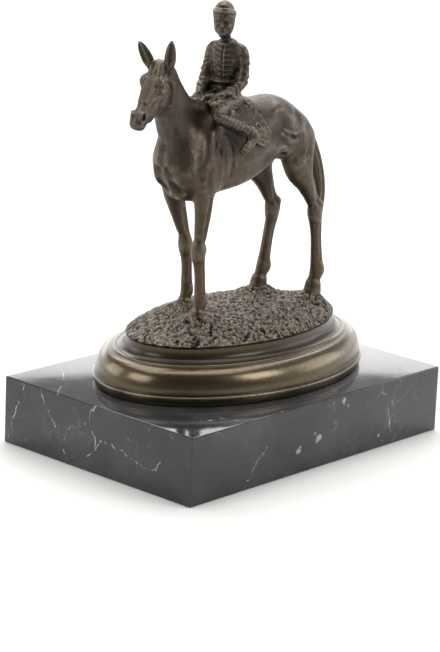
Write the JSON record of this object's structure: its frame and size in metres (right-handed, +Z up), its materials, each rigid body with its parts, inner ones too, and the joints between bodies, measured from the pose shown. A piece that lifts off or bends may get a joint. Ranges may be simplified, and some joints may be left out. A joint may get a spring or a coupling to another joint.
{
  "type": "equestrian statuette",
  "caption": "Patinated cast figure of a race rider seated on a standing horse, on a moulded oval base and a rectangular black marble plinth.",
  "frame": {"origin": "centre of the marble plinth's underside", "axes": "+Z up; the horse looks along -X, its left side towards -Y"},
  "size_m": [0.204, 0.142, 0.2464],
  "materials": {
    "dark_bronze": "dark brown patina, soft sheen, rubbed lighter on the high places",
    "base_bronze": "brown patina, smoother and shinier on the mouldings",
    "black_marble": "polished black marble with thin white veins"
  },
  "bodies": {
    "root": {"horse_and_rider": "dark_bronze", "oval_base": "base_bronze", "marble_plinth": "black_marble"}
  },
  "joints": []
}
